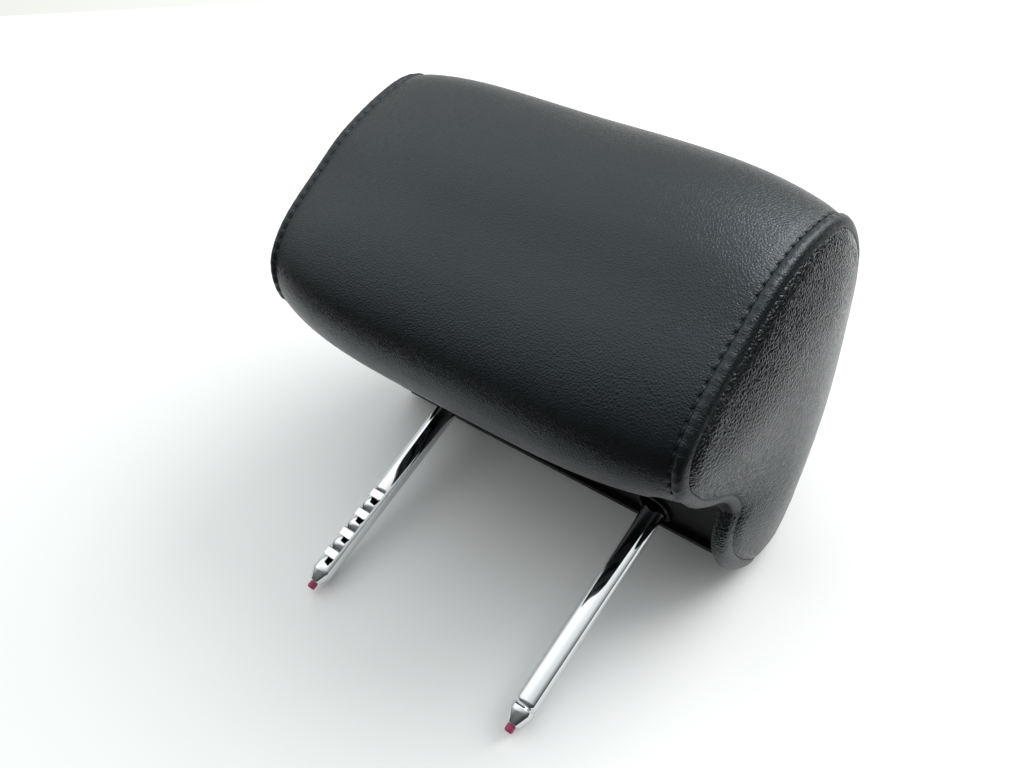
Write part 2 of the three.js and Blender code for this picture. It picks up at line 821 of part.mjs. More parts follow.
function shellScrew([x, y]) {
  return screw(x, y, headSeat - gap, crossbarHeight + shellScrewReach, 1);
}

function capScrew([x, y]) {
  return screw(x, y, crossbarHeight + gap + capBase + gap, crossbarHeight - capScrewReach, -1);
}

// The moulded foam, hollow where the carrier sits and open below it
function foamPad() {
  const margin = coverThickness + gap;
  const hollow = carrierForm(-gap, carrierFloor - 1, carrierTop + 1);
  const opening = block(
    -trimHalfWidth - gap,
    trimHalfWidth + gap,
    -troughFront - gap,
    carrierRear + gap,
    bulgeUnder,
    carrierFloor + gap,
  );
  return paddedForm(margin)
    .subtract(trough(margin))
    .subtract(hollow)
    .subtract(opening);
}

// The plastic trim at the top of the trough, with a rimmed slot for each post
function troughTrim() {
  const front = frontLip + lipThickness + stripWall + 2 * gap;
  const rear = rearStripFront - gap;
  const plan = outline([
    [-trimHalfWidth, front, 6],
    [trimHalfWidth, front, 6],
    [trimHalfWidth, rear, 2],
    [-trimHalfWidth, rear, 2],
  ]);
  let trim = alongZ(plan, trimBottom, trimTop);
  for (const side of [-1, 1]) {
    const x = side * halfSpacing;
    const rim = slotOutline(x, slotFront - bezelWidth, rear, slotHalfWidth + bezelWidth);
    trim = trim.add(alongZ(rim, bezelBottom, trimBottom + 1, 6));
    for (const y of [frontPegY, rearPegY]) {
      const pegTop = carrierFloor + floorThickness + 2;
      const peg = upright(pegDiameter / 2, side * pegPlaceX, y, trimTop - 1, pegTop, 12);
      trim = trim.add(peg);
    }
  }
  for (const side of [-1, 1]) {
    const slot = slotOutline(side * halfSpacing, slotFront, slotRear, slotHalfWidth);
    trim = trim.subtract(alongZ(slot, bezelBottom - 1, trimTop + 1, 6));
  }
  return trim;
}

// The hooked strip sewn to the front edge of the cover and clipped over a lip of the carrier
function frontStrip() {
  const near = frontLip - gap - stripWall;
  const far = frontLip + lipThickness + gap + stripWall;
  const high = carrierFloor - 2 * gap;
  const hook = outline([
    [near, stripLow, 0.6],
    [far, stripLow, 0.6],
    [far, high - 1],
    [far - stripWall, high - 1],
    [far - stripWall, stripLow + stripWall],
    [near + stripWall, stripLow + stripWall],
    [near + stripWall, high],
    [near, high],
  ]);
  return alongX(hook, -stripHalfWidth, stripHalfWidth, 2);
}

// The angled strip sewn to the rear edge of the cover and pegged under the carrier's floor
function rearStrip() {
  const high = carrierFloor - gap;
  const angle = outline([
    [rearStripFront, stripLow, 0.5],
    [rearStripFront + stripWall, stripLow, 0.5],
    [rearStripFront + stripWall, high - stripWall],
    [carrierRear - gap, high - stripWall],
    [carrierRear - gap, high],
    [rearStripFront, high],
  ]);
  const strip = alongX(angle, -stripHalfWidth, stripHalfWidth, 2);
  const pegs = stripPegPlaces.map((x) => {
    return upright(stripPegDiameter / 2, x, stripPegY, high - 1, carrierFloor + 2, 10);
  });
  return join([strip, ...pegs]);
}

const headrest = new THREE.Group();
headrest.add(piece('post_frame', postFrame(), chrome));
headrest.add(piece('lower_carrier_shell', lowerShell(), blackPlastic));
headrest.add(piece('upper_carrier_shell', upperShell(), blackPlastic));
shellScrewPlaces.forEach((place, i) => {
  headrest.add(piece(`carrier_screw_${i + 1}`, shellScrew(place), zincSteel));
});
capScrewPlaces.forEach((place, i) => {
  headrest.add(piece(`bearing_cap_screw_${i + 1}`, capScrew(place), zincSteel));
});
for (const [word, side] of [['left', -1], ['right', 1]]) {
  headrest.add(piece(`${word}_post_plug`, endPlug(side), redPlastic));
  headrest.add(piece(`${word}_bearing_bush`, bearingBush(side), paleNylon));
  headrest.add(piece(`${word}_bearing_cap`, bearingCap(side), blackPlastic));
  headrest.add(piece(`${word}_friction_spring`, frictionSpring(side), springSteel));
  headrest.add(piece(`${word}_side_panel`, sidePanel(side), grained));
}
headrest.add(piece('foam_pad', foamPad(), paleFoam));
headrest.add(piece('main_cover', mainCover(), leather));
headrest.add(piece('bottom_gusset', bottomGusset(), grained));
headrest.add(piece('trough_trim', troughTrim(), blackPlastic));
headrest.add(piece('front_cover_strip', frontStrip(), blackPlastic));
headrest.add(piece('rear_cover_strip', rearStrip(), blackPlastic));

export default headrest;
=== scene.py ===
import json
import math

import bpy
import bmesh
import numpy as np
from mathutils import Matrix, Vector
from mathutils.geometry import delaunay_2d_cdt

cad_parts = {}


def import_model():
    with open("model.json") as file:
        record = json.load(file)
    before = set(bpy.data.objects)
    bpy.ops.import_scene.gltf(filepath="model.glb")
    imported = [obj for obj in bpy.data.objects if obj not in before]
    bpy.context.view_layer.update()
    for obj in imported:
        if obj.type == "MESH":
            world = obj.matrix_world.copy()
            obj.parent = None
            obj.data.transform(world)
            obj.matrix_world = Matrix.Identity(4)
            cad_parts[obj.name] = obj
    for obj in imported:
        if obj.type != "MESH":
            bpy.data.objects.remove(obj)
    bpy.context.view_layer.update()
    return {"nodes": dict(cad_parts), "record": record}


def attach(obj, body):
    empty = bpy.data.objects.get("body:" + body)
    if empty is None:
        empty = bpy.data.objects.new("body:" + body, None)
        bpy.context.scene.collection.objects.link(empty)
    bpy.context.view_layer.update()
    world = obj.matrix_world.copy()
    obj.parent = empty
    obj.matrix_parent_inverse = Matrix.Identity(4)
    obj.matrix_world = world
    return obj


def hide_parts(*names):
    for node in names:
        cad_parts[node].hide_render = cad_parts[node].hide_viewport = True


# A car headrest that lies on its posts: sewn leather, stitching, foam and chromed posts over the CAD.
# Shapes are worked out in millimetres and become metres when their mesh is made.
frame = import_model()
nodes = frame["nodes"]
mm = 0.001
uv_per_mm = 0.01
tiny = 1e-12


# Camera, solved from the photograph: focal length in pixels of a picture 1024 wide
picture_width = 1024
sensor_width = 36.0
focal_pixels = 993.08
camera_place = Vector((0.250456, -0.443850, -0.011874))
camera_forward = Vector((-0.52833, 0.79571, 0.29618)).normalized()
camera_up = Vector((-0.37076, -0.53004, 0.76262)).normalized()
camera_right = camera_forward.cross(camera_up).normalized()
camera_turn = Matrix((camera_right, camera_up, -camera_forward)).transposed()

camera_data = bpy.data.cameras.new("camera")
camera_data.sensor_width = sensor_width
camera_data.lens = focal_pixels / picture_width * sensor_width
camera_data.clip_start = 0.01
camera_data.clip_end = 50
camera = bpy.data.objects.new("camera", camera_data)
camera.matrix_world = Matrix.Translation(camera_place) @ camera_turn.to_4x4()
bpy.context.scene.collection.objects.link(camera)
bpy.context.scene.camera = camera
bpy.context.scene.view_settings.view_transform = "Standard"


# Sizes shared with the CAD source
post_spacing = 137.0
post_radius = 6.0
crossbar_height = 155.0
bend_radius = 20.0
front_reach = 147.0
rear_reach = 25.0
full_reach = 125.5
trough_half = 110.0
trough_rear = 10.5
trough_corner = 7.0
trough_round = 3.0
ceiling_height = 130.0

# Sizes of the sewn cover, read off the photograph
stitch_place = 114.4
seam_place = 120.3
rear_taper = 2.6
roll_drop = 4.6
lobe_drop = 7.0
roll_puff = 0.7
lip = 0.8
lip_return = 1.6
lip_tuck = 1.4
side_rise = 1.0
side_rise_run = 0.9
side_dome = 8.5
side_dome_run = 17
crown = 10.8
crown_power = 3.8

# Both leathers turn in at the rear seam, and the strip's edge slips up under the main panel
seam_tuck = 2.4
seam_run = 2.6
seam_slip = 3.5

# Stitches
stitch_pitch = 5.4
stitch_start = 47.0
stitch_finish = 4.0
stitch_radius = 0.36
stitch_length = 4.1
groove_start = 40
groove_run = 12

# The left end was stuffed less evenly than the right one
left_corner_fill = 7.5
left_corner_width = 26
left_under_tuck = 1.2
left_under_width = 16
left_lobe_rise = 7.5


def unit(rows):
    return rows / np.maximum(np.linalg.norm(rows, axis=1, keepdims=True), tiny)


def smooth(x):
    x = np.clip(x, 0, 1)
    return x * x * (3 - 2 * x)


def bell(distance, width):
    """A round bump: 1 at no distance, almost 0 at two widths."""
    return np.exp(-(distance / width) ** 2)


curve_steps = 24


def knot_gap(start, end):
    """Spacing of two neighbouring knots of a centripetal curve."""
    return max(np.linalg.norm((end - start)[:2]), tiny) ** 0.5


def curve_through(points, closed=False):
    """A centripetal Catmull-Rom curve through the points, densely sampled."""
    points = np.array(points, float)
    if closed:
        points = np.vstack([points[-1], points, points[0], points[1]])
    else:
        first = 2 * points[0] - points[1]
        last = 2 * points[-1] - points[-2]
        points = np.vstack([first, points, last])
    found = []
    for i in range(len(points) - 3):
        p0, p1, p2, p3 = points[i:i + 4]
        t1 = knot_gap(p0, p1)
        t2 = t1 + knot_gap(p1, p2)
        t3 = t2 + knot_gap(p2, p3)
        for t in np.linspace(t1, t2, curve_steps, endpoint=False):
            a1 = (t1 - t) / t1 * p0 + t / t1 * p1
            a2 = (t2 - t) / (t2 - t1) * p1 + (t - t1) / (t2 - t1) * p2
            a3 = (t3 - t) / (t3 - t2) * p2 + (t - t2) / (t3 - t2) * p3
            b1 = (t2 - t) / t2 * a1 + t / t2 * a2
            b2 = (t3 - t) / (t3 - t1) * a2 + (t - t1) / (t3 - t1) * a3
            found.append((t2 - t) / (t2 - t1) * b1 + (t - t1) / (t2 - t1) * b2)
    if not closed:
        found.append(points[-2])
    return np.array(found)


def lengths_along(curve):
    steps = np.linalg.norm(np.diff(curve[:, :2], axis=0), axis=1)
    return np.concatenate([[0], np.cumsum(steps)])


def picked(curve, length, wanted):
    """All columns of a curve at the wanted places along its length."""
    return np.stack([np.interp(wanted, length, column) for column in curve.T], 1)


def outward(path, closed=False):
    """Unit normals of a path in Y and Z, pointing out of the cushion."""
    if closed:
        along = np.roll(path, -1, 0)[:, :2] - np.roll(path, 1, 0)[:, :2]
    else:
        along = np.gradient(path[:, :2], axis=0)
    along = unit(along)
    return np.stack([-along[:, 1], along[:, 0]], 1)


def narrowing(y, place):
    """How far the rear of the cushion closes in at both sides."""
    back = np.clip((y + front_reach) / (rear_reach + front_reach), 0, 1)
    return rear_taper * back * place / full_reach


def side_word(side):
    return "right" if side > 0 else "left"


def make_mesh(name, vertices, faces, uvs=None):
    mesh = bpy.data.meshes.new(name)
    mesh.from_pydata([tuple(v) for v in np.asarray(vertices) * mm], [], [tuple(f) for f in faces])
    if uvs is not None:
        layer = mesh.uv_layers.new(name="strip")
        index = np.zeros(len(mesh.loops), int)
        mesh.loops.foreach_get("vertex_index", index)
        layer.data.foreach_set("uv", (np.asarray(uvs)[index] * uv_per_mm).astype(np.float32).ravel())
    mesh.validate()
    mesh.shade_smooth()
    made = bpy.data.objects.new(name, mesh)
    bpy.context.scene.collection.objects.link(made)
    return made


def grid_faces(rows, columns, closed=False, start=0, flip=False):
    faces = []
    last = columns if closed else columns - 1
    for i in range(rows - 1):
        for j in range(last):
            a = start + i * columns + j
            b = start + i * columns + (j + 1) % columns
            face = (a, b, b + columns, a + columns)
            faces.append(face[::-1] if flip else face)
    return faces


def merge(obj, distance):
    cleaned = bmesh.new()
    cleaned.from_mesh(obj.data)
    bmesh.ops.remove_doubles(cleaned, verts=cleaned.verts, dist=distance)
    cleaned.to_mesh(obj.data)
    cleaned.free()


# The closed ring that the cover follows beside its seams. It starts at the upper corner of the side
# notch, runs under the bulge, up the front, over the top and down the back to the rear seam, and
# returns under the rear lobe. The notch and cover points hold Y, Z and their share of the crown.
notch_points = [
    (-44, 127.2, 0),
    (-54, 126.4, 0),
    (-63, 122.4, 0),
    (-74, 114.6, 0),
    (-87, 107, 0.4),
    (-98, 103.4, 0.85),
]
cover_points = [
    (-105, 101.6, 0.95),
    (-112.6, 102.2, 0.95),
    (-120.4, 105, 0.92),
    (-127.5, 110.8, 0.88),
    (-135.8, 127.3, 0.86),
    (-141.8, 156.2, 0.86),
    (-145.3, 182, 0.88),
    (-141.2, 207.2, 0.92),
    (-124.9, 234.2, 0.95),
    (-92, 244.2, 0.95),
    (-57, 231.6, 0.8),
    (-15, 206.4, 0.5),
    (18.4, 168, 0.3),
    (25.2, 151.2, 0.12),
    (24, 141, 0),
    (20.5, 133, 0),
]
lobe_points = [
    (18.6, 129.2),
    (14.4, 125.2),
    (6, 119.6),
    (-4, 115.8),
    (-15, 113.8),
    (-26, 114.2),
    (-34.6, 117.8),
    (-40.2, 122.6),
]

# The front wall of the trough: away from its ends the main panel starts along it, not along the notch
inner_points = [
    (-90.8, 130),
    (-91, 127),
    (-91.6, 120),
    (-92.4, 112),
    (-93.8, 106),
    (-98, 102.4),
]

panel_points = notch_points + cover_points
cover_path = [(y, z) for y, z, _ in cover_points]
ring = curve_through([(y, z) for y, z, _ in panel_points] + lobe_points, closed=True)
rear_index = (len(panel_points) - 1) * curve_steps
evening = 7
ring_out = outward(ring, closed=True)
shifts = range(-2 * evening, 2 * evening + 1)
ring_out = unit(sum(np.roll(ring_out, k, 0) * bell(k, evening) for k in shifts))
ring_full = np.column_stack([ring, ring_out])

# The same ring as two open strips, the main panel's and the bottom strip's
column_count = 440
side_strip = ring_full[:rear_index + 1]
side_span = lengths_along(side_strip)
side_length = np.linspace(0, side_span[-1], column_count)
side_path = picked(side_strip, side_span, side_length)
middle_path = picked(curve_through(inner_points + cover_path), side_span, side_length)
crown_share = np.interp(side_length, side_span[::curve_steps], [share for _, _, share in panel_points])
lobe_strip = np.vstack([ring_full[rear_index:], ring_full[:1]])
lobe_length = lengths_along(lobe_strip)
lobe_end = lobe_length[-1]


def length_at_point(place):
    """Length along the main panel at the cover point nearest to a place in Y and Z."""
    gaps = [math.dist(place, point) for point in cover_path]
    return side_span[(len(notch_points) + gaps.index(min(gaps))) * curve_steps]


lower_corner = length_at_point((-120, 105))
upper_corner = length_at_point((-125, 234)) - 8


def left_end(place, length):
    """The left end is fuller at its upper front corner and tucked in under the bulge."""
    share = np.clip(-place / stitch_place, 0, 1) ** 2
    upper = left_corner_fill * bell(length - upper_corner, left_corner_width)
    lower = left_under_tuck * bell(length - lower_corner, left_under_width)
    return share * (upper - lower)


def lobe_drop_at(length):
    """Drop of the seam under the rear lobe, deeper than elsewhere because the roll is fuller there."""
    run_in, run_out = 22, 24
    share = smooth(length / run_in) * smooth((lobe_end - length) / run_out)
    return roll_drop + (lobe_drop - roll_drop) * share


def lobe_raise(z, length, place):
    """The left end of the rear lobe is flatter: how far its surface lies above the right one's."""
    end_run = 20
    wall_run = 16
    middle_half, side_run = 60, 50
    along = smooth(length / end_run) * smooth((lobe_end - length) / end_run)
    below = np.clip((ceiling_height - z) / wall_run, 0, 1)
    return left_lobe_rise * along * smooth((place - middle_half) / side_run) * below


def rolled(share, drop):
    """Across the roll from the stitch line to its lip: distance outwards, and lift."""
    angle = np.clip(share, 0, 1) * np.pi / 2
    reach = (seam_place - stitch_place) * np.sin(angle)
    lift = -drop * (1 - np.cos(angle)) + roll_puff * np.sin(2 * angle) ** 2
    under = np.clip(share - 1, 0, 1)
    return reach - lip * lip_return * under, lift - lip_tuck * under


def panel_rows():
    """Rows of the main panel from its left lip to its right one: side, place and share of the roll."""
    close_from, closest_from = 100, 110
    wide = np.arange(0, close_from, 3.2)
    close = np.arange(close_from, closest_from, 1.0)
    closest = np.arange(closest_from, stitch_place - 0.1, 0.4)
    rolls = np.concatenate([np.linspace(0, 1, 15), [1.35, 1.7, 2.0]])
    half = [(place, 0.0) for place in np.concatenate([wide, close, closest])]
    half += [(stitch_place, share) for share in rolls]
    left = [(-1, place, share) for place, share in half[:0:-1]]
    return left + [(1, place, share) for place, share in half]


def sewing_marks(across):
    """Depth of the groove, the needle dips and the puckers, by distance from the stitch line."""
    groove_depth, groove_width = 0.5, 0.6
    hollow_depth, hollow_place, hollow_width = 0.3, -1.5, 2.5
    line_depth, needle_depth, line_width = 0.1, 0.55, 0.9
    pucker_depth, pucker_place, pucker_width = 0.16, 2.2, 1.6
    wave = np.cos(2 * np.pi * side_length / stitch_pitch)
    needle = 0.5 + 0.5 * wave
    groove = groove_depth * bell(across, groove_width)
    groove = groove + hollow_depth * bell(across - hollow_place, hollow_width)
    dip = (line_depth + needle_depth * needle ** 3) * bell(across, line_width)
    pucker = pucker_depth * wave * bell(across - pucker_place, pucker_width)
    return (groove + dip + pucker) * smooth((side_length - groove_start) / groove_run)


def main_panel():
    """The panel over the bulge, the front, the top and the back, out to the lips of both rolls."""
    blend_start, blend_run = 102.5, 5
    ended = smooth((side_length[-1] - side_length) / seam_run)
    vertices, uvs = [], []
    for side, place, share in panel_rows():
        blend = smooth((place - blend_start) / blend_run)
        path = middle_path * (1 - blend) + side_path[:, :2] * blend
        normal = unit(outward(path) * (1 - blend) + side_path[:, 2:4] * blend)
        reach, lift = rolled(share, roll_drop)
        lift = lift + crown * crown_share * (1 - (place / stitch_place) ** crown_power)
        lift = lift + left_end(side * place, side_length)
        edge = place + reach
        lift = lift - sewing_marks(edge - stitch_place) - seam_tuck * (1 - ended)
        y = path[:, 0] + normal[:, 0] * lift
        z = path[:, 1] + normal[:, 1] * lift
        vertices.append(np.stack([side * (edge - narrowing(y, edge)), y, z], 1))
        uvs.append(np.stack([np.full(column_count, side * edge), side_length], 1))
    faces = grid_faces(len(vertices), column_count, flip=True)
    return make_mesh("main_leather", np.vstack(vertices), faces, np.vstack(uvs))


def seam_ring(side, count):
    """The seam round a side panel, as Y and Z, at evenly spaced places."""
    drops = np.full(len(ring), roll_drop)
    drops[:rear_index] -= left_end(side * stitch_place, side_span[:rear_index])
    drops[rear_index:] = lobe_drop_at(lobe_length[:-1])
    seam = ring - ring_out * drops[:, None]
    if side < 0:
        seam[rear_index:, 1] += lobe_raise(seam[rear_index:, 1], lobe_length[:-1], seam_place)
    seam = np.vstack([seam, seam[:1]])
    length = lengths_along(seam)
    return picked(seam, length, np.linspace(0, length[-1], count, endpoint=False))


def distance_to(loop, points):
    """Shortest distance from each point to a closed loop of straight pieces."""
    ahead = np.roll(loop, -1, 0) - loop
    size = np.maximum((ahead ** 2).sum(1), tiny)
    best = np.full(len(points), np.inf)
    for start, way, square in zip(loop, ahead, size):
        share = np.clip(((points - start) @ way) / square, 0, 1)
        gap = points - start - share[:, None] * way
        best = np.minimum(best, np.hypot(gap[:, 0], gap[:, 1]))
    return best


def inside(loop, points):
    """Whether each point lies inside a closed loop."""
    found = np.zeros(len(points), bool)
    ends = np.roll(loop, -1, 0)
    for (y0, z0), (y1, z1) in zip(loop, ends):
        crosses = (z0 > points[:, 1]) != (z1 > points[:, 1])
        at = (y1 - y0) * (points[:, 1] - z0) / (z1 - z0 + tiny) + y0
        found ^= crosses & (points[:, 0] < at)
    return found


def side_sheet(side):
    """The flat layout of a side panel: points in Y and Z, triangles, and distance from the seam."""
    edge_count = 420
    insets = (0.35, 0.8, 1.4, 2.2, 3.2, 4.4)
    pitch = 1.9
    row_height = pitch * 0.866
    clear_share = 0.97
    grid_gap = 1.2
    loop = seam_ring(side, edge_count)
    normal = outward(loop, closed=True)
    kept = [loop]
    for inset in insets:
        near = loop - normal * inset
        if inset > 1:
            near = near[::2]
        clear = distance_to(loop, near) > inset * clear_share
        kept.append(near[clear & inside(loop, near)])
    across = np.arange(loop[:, 0].min(), loop[:, 0].max(), pitch)
    up = np.arange(loop[:, 1].min(), loop[:, 1].max(), row_height)
    grid = np.array([(y + pitch / 2 * (i % 2), z) for i, z in enumerate(up) for y in across])
    grid = grid[inside(loop, grid)]
    kept.append(grid[distance_to(loop, grid) > insets[-1] + grid_gap])
    edges = [(i, (i + 1) % edge_count) for i in range(edge_count)]
    found = delaunay_2d_cdt([Vector(p) for p in np.vstack(kept)], edges, [], 1, 1e-5)
    points = np.array([tuple(v) for v in found[0]])
    return points, [tuple(f) for f in found[2]], distance_to(loop, points)


def softened(values, faces, share, rounds):
    """The values at the points, evened out along the edges of the faces where share is above nothing."""
    ends = np.array([(a, b) for face in faces for a, b in zip(face, face[1:] + face[:1])])
    count = np.maximum(np.bincount(ends[:, 0], minlength=len(values)), 1)
    for _ in range(rounds):
        mean = np.bincount(ends[:, 0], values[ends[:, 1]], minlength=len(values)) / count
        values = values + share * (mean - values)
    return values


def side_panel(side):
    """One side panel: a step up from the seam, then a dome that is evened out away from it."""
    evened_from, evened_run = 5, 8
    points, faces, depth = side_sheet(side)
    step = side_rise * (1 - np.exp(-depth / side_rise_run))
    dome = side_dome * (1 - np.exp(-depth / side_dome_run))
    dome = softened(dome, faces, smooth((depth - evened_from) / evened_run), rounds=60)
    x = seam_place - lip + step + dome
    x = x - narrowing(points[:, 0], x)
    vertices = np.column_stack([side * x, points])
    first = vertices[list(faces[0])]
    turn = np.cross(first[1] - first[0], first[2] - first[0])[0]
    if turn * side < 0:
        faces = [f[::-1] for f in faces]
    return make_mesh(side_word(side) + "_side_leather", vertices, faces, points)


def lobe_length_at(y):
    """Length along the profile of the rear lobe at a place in Y."""
    return float(np.interp(-y, -lobe_strip[:, 0], lobe_length))


def strip_edges():
    """The right half of the strip's inner and outer edges, as place and length, and the way inwards."""
    turned = trough_corner + trough_round
    straight = trough_half - trough_corner
    centre = trough_rear - trough_corner
    joined = lobe_length_at(centre)
    outer_joined = 0.6 * joined
    straight_count, corner_count, side_count = 64, 14, 70
    inner, outer, way = [], [], []

    def add(x, y, length, outer_place, outer_length, heading):
        inner.append((x + narrowing(y, x), length))
        outer.append((outer_place, outer_length))
        way.append(heading)

    for x in np.linspace(0, straight, straight_count, endpoint=False):
        y = centre + turned
        add(x, y, lobe_length_at(y), x * seam_place / straight, 0.0, (0, -1))
    for angle in np.linspace(0, np.pi / 2, corner_count):
        x = straight + turned * np.sin(angle)
        y = centre + turned * np.cos(angle)
        outer_length = outer_joined * angle / (np.pi / 2)
        add(x, y, lobe_length_at(y), seam_place, outer_length, (-np.sin(angle), -np.cos(angle)))
    for share in np.linspace(0, 1, side_count)[1:]:
        length = joined + (lobe_end - joined) * share
        y = float(np.interp(length, lobe_length, lobe_strip[:, 0]))
        outer_length = outer_joined + (lobe_end - outer_joined) * share
        add(trough_half + trough_round, y, length, seam_place, outer_length, (-1, 0))
    return np.array(inner), np.array(outer), np.array(way, float)


def bottom_strip():
    """The strip from the rear seam under the rear lobe, with the wall that lines the trough."""
    hem = 0.16
    hem_drop = 1.5
    ceiling_gap = 0.5
    least_wall = 0.4
    uv_start = 1000
    inner, outer, way = strip_edges()
    vertices, uvs = [], []
    for share in np.concatenate([np.linspace(-hem, 0, 5), np.linspace(0, 1, 26)[1:]]):
        tucked = max(-share, 0) / hem
        place, length = (outer + (inner - outer) * max(share, 0)).T
        path = picked(lobe_strip, lobe_length, length)
        turn = np.clip((place - stitch_place) / (seam_place - stitch_place), 0, 1)
        at_lip = turn > 0.999
        reach, lift = rolled(turn + tucked * at_lip, lobe_drop_at(length))
        flat_place = np.minimum(place, stitch_place) + reach
        under = 1 - smooth(length / seam_run)
        lift = lift - seam_tuck * under - hem_drop * tucked * ~at_lip
        y = path[:, 0] + path[:, 2] * lift - path[:, 3] * seam_slip * under
        z = path[:, 1] + path[:, 3] * lift + path[:, 2] * seam_slip * under
        vertices.append(np.stack([flat_place - narrowing(y, flat_place), y, z], 1))
        uvs.append(np.stack([flat_place, uv_start + length], 1))
    foot = vertices[-1]
    for angle in np.linspace(0, np.pi / 2, 8)[1:]:
        rise = np.full(len(way), trough_round * (1 - np.cos(angle)))
        row = foot + np.column_stack([way * trough_round * np.sin(angle), rise])
        row[:, 2] = np.minimum(row[:, 2], np.maximum(foot[:, 2], ceiling_height - ceiling_gap))
        vertices.append(row)
        uvs.append(uvs[-1] + (0, 1))
    start = vertices[-1]
    wall = np.maximum(ceiling_height, start[:, 2] + least_wall) - start[:, 2]
    for share in np.linspace(0, 1, 6)[1:]:
        vertices.append(start + np.column_stack([np.zeros((len(wall), 2)), wall * share]))
        uvs.append(uvs[-1] + (0, 2))
    right = np.vstack(vertices)
    uv = np.vstack(uvs)
    left = right * (-1, 1, 1)
    left[:, 2] += lobe_raise(right[:, 2], uv[:, 1] - uv_start, uv[:, 0])
    faces = grid_faces(len(vertices), len(inner))
    faces += grid_faces(len(vertices), len(inner), start=len(right), flip=True)
    made = make_mesh("bottom_strip", np.vstack([right, left]), faces, np.vstack([uv, uv * (-1, 1)]))
    merge(made, 0.05 * mm)
    return made


def foam_core():
    """The moulded foam, a copy of the CAD pad drawn in under the cover and away from its seams."""
    inset = 5.5 * mm
    half_width = 115 * mm
    end_half, end_top = 95 * mm, 134 * mm
    notch_front, notch_rear = -60 * mm, -25 * mm
    seam_rear, seam_top = 17.5 * mm, 142 * mm
    mesh = nodes["foam_pad"].data.copy()
    mesh.name = "foam_core"
    made = bpy.data.objects.new("foam_core", mesh)
    bpy.context.scene.collection.objects.link(made)
    merge(made, 0.01 * mm)
    shrunk = bmesh.new()
    shrunk.from_mesh(mesh)
    shrunk.normal_update()
    moved = [vertex.co - vertex.normal * inset for vertex in shrunk.verts]
    for vertex, place in zip(shrunk.verts, moved):
        low_end = abs(place.x) > end_half and place.z < end_top
        if low_end and notch_front < place.y < notch_rear:
            place.y = notch_rear
        if place.z < seam_top:
            place.y = min(place.y, seam_rear)
        vertex.co = (min(max(place.x, -half_width), half_width), place.y, place.z)
    shrunk.to_mesh(mesh)
    shrunk.free()
    return made


def stitch(side, middle, slant, around, along):
    """The rings of one stitch, a short thread that sinks into the leather at both ends."""
    sink, end_sink = 0.5, 0.55
    rings = []
    for share in np.linspace(-1, 1, along):
        spot = middle + share * stitch_length / 2
        size = stitch_radius * math.sqrt(max(1 - abs(share) ** 6, 0.03))
        y0, z0, ny, nz = picked(side_path, side_length, np.array([spot]))[0]
        arch = -sink - end_sink * share ** 4 + float(left_end(side * stitch_place, spot))
        for angle in 2 * np.pi * np.arange(around) / around:
            lift = arch + size * math.sin(angle)
            y = y0 + ny * lift
            x = stitch_place + slant * share + size * math.cos(angle)
            rings.append((side * (x - narrowing(y, x)), y, z0 + nz * lift))
    return rings


def stitches(side):
    """A row of stitches lying in the groove beside the roll, each a little differently slanted."""
    around, along = 8, 9
    count = int((side_length[-1] - stitch_finish - stitch_start) / stitch_pitch)
    first = math.ceil(stitch_start / stitch_pitch) * stitch_pitch
    vertices, faces = [], []
    for i in range(count):
        base = len(vertices)
        slant = 0.22 + 0.08 * math.sin(i * 1.7)
        vertices += stitch(side, first + (i + 0.5) * stitch_pitch, slant, around, along)
        faces += grid_faces(along, around, closed=True, start=base)
        faces.append(tuple(range(base, base + around))[::-1])
        faces.append(tuple(range(len(vertices) - around, len(vertices))))
    return make_mesh(side_word(side) + "_stitching", vertices, faces)


# Height notches in the front of the left post, and the catch groove round the right one
notch_heights = (21.0, 34.0, 47.0, 60.0)
notch_length = 5.0
notch_depth = 1.4
catch_low = 13.0
catch_high = 14.2
catch_depth = 0.5
step_width = 0.01
inner_step = 0.8

# Height and radius along the coned tip of a post, from its mouth
tip_rows = [(4, 2.3), (4, 2.95), (4.25, 3.2), (9.6, 5.8), (10.3, post_radius), (12, post_radius)]


def post_rows(side):
    """Height and radius of every ring of one post below its bend, from its coned tip up."""
    rows = list(tip_rows)
    if side > 0:
        cut = post_radius - catch_depth
        rows += [(catch_low, post_radius), (catch_low, cut)]
        rows += [(catch_high, cut), (catch_high, post_radius)]
    else:
        for height in notch_heights:
            low = height - notch_length / 2
            high = height + notch_length / 2
            heights = [low - step_width, low + step_width]
            heights += list(np.linspace(low + inner_step, high - inner_step, 5))
            heights += [high - step_width, high + step_width]
            rows += [(z, post_radius) for z in heights]
    heights = np.linspace(rows[-1][0] + 2, crossbar_height - bend_radius, 30)
    return rows + [(z, post_radius) for z in heights]


